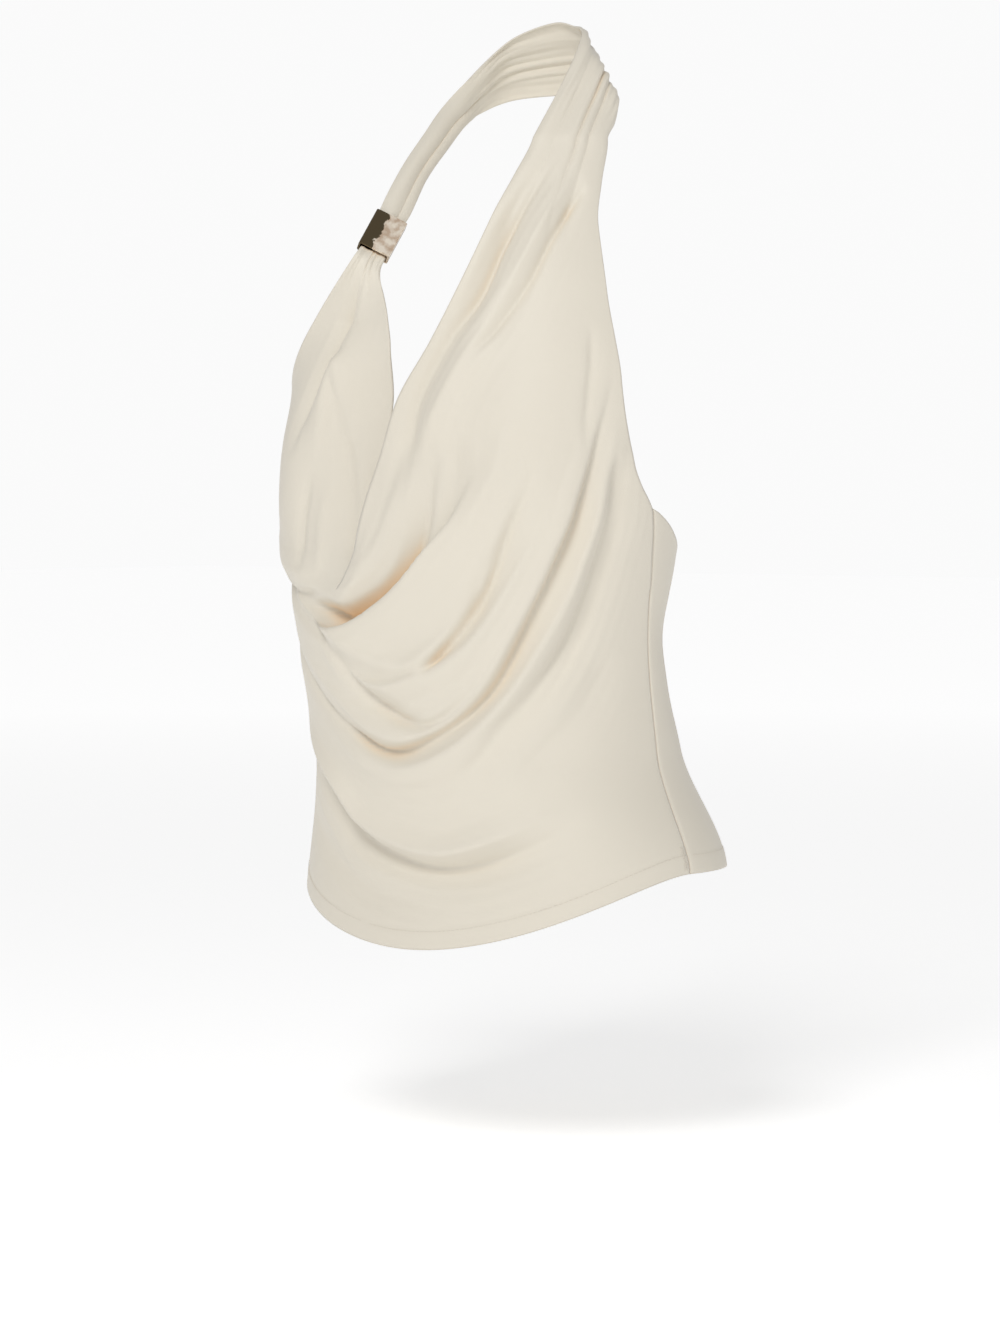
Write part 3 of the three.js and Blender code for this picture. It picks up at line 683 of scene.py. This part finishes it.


# Satin-faced jersey: fine ribs of loops, a soft sheen, and a painted glow in deep folds, mixed in by ambient
# occlusion in place of light caught between them
def jersey_material():
    material, nodes, links, shader = new_material("jersey")
    shader.inputs["Roughness"].default_value = 0.55
    shader.inputs["Specular IOR Level"].default_value = 0.35
    shader.inputs["Sheen Weight"].default_value = 0.2
    shader.inputs["Sheen Roughness"].default_value = 0.4
    place = add_node(nodes, "ShaderNodeTexCoord")
    caught = add_node(nodes, "ShaderNodeAmbientOcclusion", {"samples": 8}, Distance=0.022)
    depth = add_node(nodes, "ShaderNodeMapRange", From_Min=0.1, From_Max=0.66, To_Min=1.0, To_Max=0.0)
    blotches = add_node(nodes, "ShaderNodeTexNoise", Scale=9.0, Detail=3.0)
    loops = add_node(nodes, "ShaderNodeTexVoronoi", Scale=1500.0)
    ribs = add_node(nodes, "ShaderNodeTexNoise", Scale=260.0, Detail=2.0)
    lights = add_node(nodes, "ShaderNodeMix", {"data_type": "RGBA"})
    lights.inputs["A"].default_value = COLOURS["jersey low"]
    lights.inputs["B"].default_value = COLOURS["jersey high"]
    # Painted glow: an orange tint mixed into the colour where ambient occlusion finds a deep fold
    painted_glow = add_node(nodes, "ShaderNodeMix", {"data_type": "RGBA"})
    painted_glow.inputs["B"].default_value = COLOURS["jersey painted glow in deep folds"]
    grain = add_node(nodes, "ShaderNodeBump", Strength=0.12, Distance=0.0003)
    weave = add_node(nodes, "ShaderNodeBump", Strength=0.1, Distance=0.0006)
    for texture in (blotches, loops, ribs):
        links.new(place.outputs["Object"], texture.inputs["Vector"])
    links.new(blotches.outputs["Fac"], lights.inputs["Factor"])
    links.new(caught.outputs["AO"], depth.inputs["Value"])
    links.new(depth.outputs["Result"], painted_glow.inputs["Factor"])
    links.new(lights.outputs["Result"], painted_glow.inputs["A"])
    links.new(painted_glow.outputs["Result"], shader.inputs["Base Color"])
    links.new(loops.outputs["Distance"], grain.inputs["Height"])
    links.new(ribs.outputs["Fac"], weave.inputs["Height"])
    links.new(grain.outputs["Normal"], weave.inputs["Normal"])
    links.new(weave.outputs["Normal"], shader.inputs["Normal"])
    return material


# Polished plate: a painted dark reflection and a painted mottled bright reflection in its colour, which meet
# in a wavy border, and faint wear in its shine
def metal_material():
    material, nodes, links, shader = new_material("ring_metal")
    meeting = float(np.dot(RING["centre"], RING["across"])) * MM + PAINTED_REFLECTIONS["border"]
    place = add_node(nodes, "ShaderNodeTexCoord")
    aside = add_node(nodes, "ShaderNodeVectorMath", {"operation": "DOT_PRODUCT"})
    aside.inputs[1].default_value = RING["across"]
    swell = add_node(nodes, "ShaderNodeTexNoise", Scale=190.0, Detail=3.0)
    wear = add_node(nodes, "ShaderNodeTexNoise", Scale=700.0, Detail=4.0)
    border = add_node(nodes, "ShaderNodeMath", {"operation": "MULTIPLY_ADD"})
    border.inputs[1].default_value = PAINTED_REFLECTIONS["waves"]
    bright = add_node(nodes, "ShaderNodeMapRange")
    bright.inputs["From Min"].default_value = meeting
    bright.inputs["From Max"].default_value = meeting + PAINTED_REFLECTIONS["blur"]
    shine = add_node(nodes, "ShaderNodeMapRange", To_Min=0.07, To_Max=0.2)
    tone = add_node(nodes, "ShaderNodeMix", {"data_type": "RGBA"})
    tone.inputs["A"].default_value = COLOURS["ring painted bright reflection low"]
    tone.inputs["B"].default_value = COLOURS["ring painted bright reflection high"]
    mottle = add_node(nodes, "ShaderNodeMapRange", From_Min=0.38, From_Max=0.62)
    satin = add_node(nodes, "ShaderNodeMapRange", To_Min=1.0, To_Max=0.5)
    # Painted reflections in the colour: dark on one side of the wavy border, mottled bright gold on the
    # other
    painted_reflection = add_node(nodes, "ShaderNodeMix", {"data_type": "RGBA"})
    painted_reflection.inputs["A"].default_value = COLOURS["ring painted dark reflection"]
    wavy = add_node(nodes, "ShaderNodeBump", Strength=0.3, Distance=0.0006)
    for texture in (swell, wear):
        links.new(place.outputs["Object"], texture.inputs["Vector"])
    links.new(place.outputs["Object"], aside.inputs[0])
    links.new(swell.outputs["Fac"], border.inputs[0])
    links.new(aside.outputs["Value"], border.inputs[2])
    links.new(border.outputs["Value"], bright.inputs["Value"])
    links.new(bright.outputs["Result"], painted_reflection.inputs["Factor"])
    links.new(bright.outputs["Result"], satin.inputs["Value"])
    links.new(satin.outputs["Result"], shader.inputs["Metallic"])
    links.new(wear.outputs["Fac"], shine.inputs["Value"])
    links.new(swell.outputs["Fac"], mottle.inputs["Value"])
    links.new(mottle.outputs["Result"], tone.inputs["Factor"])
    links.new(tone.outputs["Result"], painted_reflection.inputs["B"])
    links.new(swell.outputs["Fac"], wavy.inputs["Height"])
    links.new(shine.outputs["Result"], shader.inputs["Roughness"])
    links.new(painted_reflection.outputs["Result"], shader.inputs["Base Color"])
    links.new(wavy.outputs["Normal"], shader.inputs["Normal"])
    return material


# Twisted sewing thread
def thread_material():
    material, nodes, links, shader = new_material("thread")
    shader.inputs["Roughness"].default_value = 0.5
    place = add_node(nodes, "ShaderNodeTexCoord")
    twist = add_node(nodes, "ShaderNodeTexNoise", Scale=1800.0, Detail=2.0)
    tone = add_node(nodes, "ShaderNodeMix", {"data_type": "RGBA"})
    tone.inputs["A"].default_value = COLOURS["thread low"]
    tone.inputs["B"].default_value = COLOURS["thread high"]
    links.new(place.outputs["Object"], twist.inputs["Vector"])
    links.new(twist.outputs["Fac"], tone.inputs["Factor"])
    links.new(tone.outputs["Result"], shader.inputs["Base Color"])
    return material


# Thread laid over the cloth: each stitch is a low ridge between two points
def stitch_piece(name, stitches, width, material):
    vertices, faces = [], []
    for start, end, out in stitches:
        along = unit(end - start)
        aside = unit(np.cross(along, out)) * width / 2
        lift = out * width * STITCH_HEIGHT
        first = len(vertices)
        for share, height in STITCH_PROFILE:
            point = mix(start, end, share)
            vertices += [point - aside, point + lift * height, point + aside, point - lift]
        for ring in range(len(STITCH_PROFILE) - 1):
            for side in range(4):
                a = first + 4 * ring + side
                b = first + 4 * ring + (side + 1) % 4
                faces.append((a, b, b + 4, a + 4))
        faces.append((first + 3, first + 2, first + 1, first))
        faces.append((first + 12, first + 13, first + 14, first + 15))
    mesh = bpy.data.meshes.new(name)
    mesh.from_pydata([tuple(vertex * MM) for vertex in vertices], [], faces)
    mesh.validate()
    mesh.materials.append(material)
    piece = bpy.data.objects.new(name, mesh)
    bpy.context.collection.objects.link(piece)
    return piece


# A row of stitches along a line of points, with the way out at each
def running_stitches(points, outs):
    lengths = np.concatenate([[0], np.cumsum(np.linalg.norm(np.diff(points, axis=0), axis=1))])
    stitches = []
    for start in np.arange(STITCH["pitch"], lengths[-1] - STITCH["pitch"], STITCH["pitch"]):
        ends = []
        for reach in (start, start + STITCH["length"]):
            ends.append(np.array([np.interp(reach, lengths, points[:, axis]) for axis in range(3)]))
        out = np.array([np.interp(start, lengths, outs[:, axis]) for axis in range(3)])
        stitches.append((ends[0], ends[1], unit(out)))
    return stitches


# The line on a surface that runs so far above its hem, and the way out along it
def hem_line(surface, height_of, above):
    s = np.linspace(HEM_LINE["first"], HEM_LINE["last"], HEM_LINE["points"])
    t = -1 + above / height_of(s)
    round_ = unit(surface(s + NUDGE["s"], t) - surface(s - NUDGE["s"], t))
    up = unit(surface(s, t + NUDGE["t"]) - surface(s, t - NUDGE["t"]))
    out = unit(np.cross(round_, up))
    return surface(s, t) + out * STITCH["proud"], out


# How tall each surface is above its hem, by the share across it
def front_height(side):
    def height(s):
        seam = side * side_seam(HEM_AT_SEAM)
        angle = mix(COWL_LOW["angle"], seam, s) if side > 0 else mix(seam, COWL_LOW["angle"], s)
        return COWL_LOW["z"] - hem_height(angle)

    return height


def back_height(s):
    return back_top_at(s) - HEM_AT_SEAM


def hem_stitches(surface, height_of):
    return running_stitches(*hem_line(surface, height_of, TURNING["tall"] - STITCH["in_from_fold"]))


# A dense bar of thread that holds the seam's turning flat at the hem
def bartack_stitches():
    surface = lower_front(1)
    inner = BARTACK["in_from_seam"] + BARTACK["wide"]
    s = 1 - np.array([inner, BARTACK["in_from_seam"]]) / LEFT_HEM_LENGTH
    stitches = []
    for i in range(BARTACK["rows"]):
        above = BARTACK["above_hem"] + BARTACK["tall"] * i / (BARTACK["rows"] - 1)
        t = np.full(2, -1 + above / (COWL_LOW["z"] - HEM_AT_SEAM))
        first, last = surface(s, t)
        up = unit(surface(s, t + NUDGE["t"]) - surface(s, t - NUDGE["t"]))[0]
        out = unit(np.cross(unit(last - first), up))
        lean = up * BARTACK["lean"] * BARTACK["tall"] / BARTACK["rows"]
        proud = out * STITCH["proud"]
        stitches.append((first + proud - lean, last + proud + lean, out))
    return stitches


jersey = jersey_material()
metal = metal_material()
thread = thread_material()
front_cloth = front_piece(jersey)
back_cloth = back_piece(jersey)
strap_cloth = strap_piece(jersey)
for piece, node in ((front_cloth, "front_panel"), (back_cloth, "back_panel"), (strap_cloth, "neck_strap")):
    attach(piece, "root")
    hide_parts(node)

front_stitches = []
for side in (-1, 1):
    front_stitches += hem_stitches(lower_front(side), front_height(side))
front_thread = stitch_piece("front_hem_thread", front_stitches, STITCH["thread"], thread)
back_thread = stitch_piece("back_hem_thread", hem_stitches(back, back_height), STITCH["thread"], thread)
bartack = stitch_piece("seam_bartack", bartack_stitches(), BARTACK["thread"], thread)
for piece in (front_thread, back_thread, bartack):
    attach(piece, "root")

# The ring keeps its solid, with its edges eased
slide_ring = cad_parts["slide_ring"]
slide_ring.data.materials.clear()
slide_ring.data.materials.append(metal)
eased = slide_ring.modifiers.new("eased edges", "BEVEL")
eased.width = RING_EDGE["width"] * MM
eased.segments = RING_EDGE["segments"]
eased.limit_method = "ANGLE"
eased.angle_limit = math.radians(RING_EDGE["angle"])

# The camera, in millimetres and degrees, with its scale in millimetres a pixel of the photograph
CAMERA = {"azimuth": 40, "distance": 2500, "height": -285, "aside": -10.4, "tilt": 2.5, "pixel": 0.65}
BODY_AXIS_Y = -56
PHOTO_HEIGHT = 1333
SENSOR = 36

# The floor: its height in millimetres, and its size and where its glow rises in metres from the middle
FLOOR = {"z": -700, "size": 30, "glow_from": 0.5, "glow_to": 5.0, "glow": (0.46, 0.61)}

# Area lights in metres and degrees, which aim at one point, and the light all round
LIGHTS_AIM = (0, -0.05, -0.3)
LIGHTS = {
    "key": {"azimuth": 22, "height": 1.5, "distance": 2.4, "size": 0.9, "watts": 37},
    "fill": {"azimuth": 105, "height": 0.4, "distance": 2.4, "size": 1.6, "watts": 4},
}
WORLD = {"light": 0.4, "seen": 0.96}


def add_floor():
    bpy.ops.mesh.primitive_plane_add(size=FLOOR["size"], location=(0, 0, FLOOR["z"] * MM))
    floor = bpy.context.object
    floor.name = "floor"
    material, nodes, links, shader = new_material("floor")
    shader.inputs["Base Color"].default_value = COLOURS["floor"]
    shader.inputs["Roughness"].default_value = 0.9
    shader.inputs["Emission Color"].default_value = COLOURS["white"]
    place = add_node(nodes, "ShaderNodeTexCoord")
    reach = add_node(nodes, "ShaderNodeVectorMath", {"operation": "LENGTH"})
    low, high = FLOOR["glow"]
    start, end = FLOOR["glow_from"], FLOOR["glow_to"]
    glow = add_node(nodes, "ShaderNodeMapRange", From_Min=start, From_Max=end, To_Min=low, To_Max=high)
    links.new(place.outputs["Object"], reach.inputs[0])
    links.new(reach.outputs["Value"], glow.inputs["Value"])
    links.new(glow.outputs["Result"], shader.inputs["Emission Strength"])
    floor.data.materials.append(material)


# Soft light all round, in front of a pale background
def add_world():
    world = bpy.data.worlds.new("studio")
    world.use_nodes = True
    nodes, links = world.node_tree.nodes, world.node_tree.links
    path = add_node(nodes, "ShaderNodeLightPath")
    seen = add_node(nodes, "ShaderNodeMapRange")
    seen.inputs["To Min"].default_value = WORLD["light"]
    seen.inputs["To Max"].default_value = WORLD["seen"]
    links.new(path.outputs["Is Camera Ray"], seen.inputs["Value"])
    links.new(seen.outputs["Result"], nodes["Background"].inputs["Strength"])
    nodes["Background"].inputs["Color"].default_value = COLOURS["white"]
    bpy.context.scene.world = world


def add_light(name, azimuth, height, distance, size, watts):
    data = bpy.data.lights.new(name, "AREA")
    data.size = size
    data.energy = watts
    light = bpy.data.objects.new(name, data)
    bpy.context.collection.objects.link(light)
    turn = math.radians(azimuth)
    light.location = (distance * math.sin(turn), -distance * math.cos(turn), height)
    aim = Vector(LIGHTS_AIM) - light.location
    light.rotation_euler = aim.to_track_quat("-Z", "Y").to_euler()


def add_camera():
    turn = math.radians(CAMERA["azimuth"])
    data = bpy.data.cameras.new("camera")
    data.sensor_fit = "VERTICAL"
    data.sensor_height = SENSOR
    data.lens = SENSOR * CAMERA["distance"] / CAMERA["pixel"] / PHOTO_HEIGHT
    camera = bpy.data.objects.new("camera", data)
    bpy.context.collection.objects.link(camera)
    aside, distance = CAMERA["aside"], CAMERA["distance"]
    x = aside * math.cos(turn) + distance * math.sin(turn)
    y = aside * math.sin(turn) - distance * math.cos(turn) + BODY_AXIS_Y
    camera.location = (x * MM, y * MM, CAMERA["height"] * MM)
    camera.rotation_euler = (math.radians(90 - CAMERA["tilt"]), 0, turn)
    bpy.context.scene.camera = camera


add_floor()
for light_name, light in LIGHTS.items():
    add_light(light_name, **light)
add_world()
bpy.context.scene.view_settings.view_transform = "Standard"
add_camera()
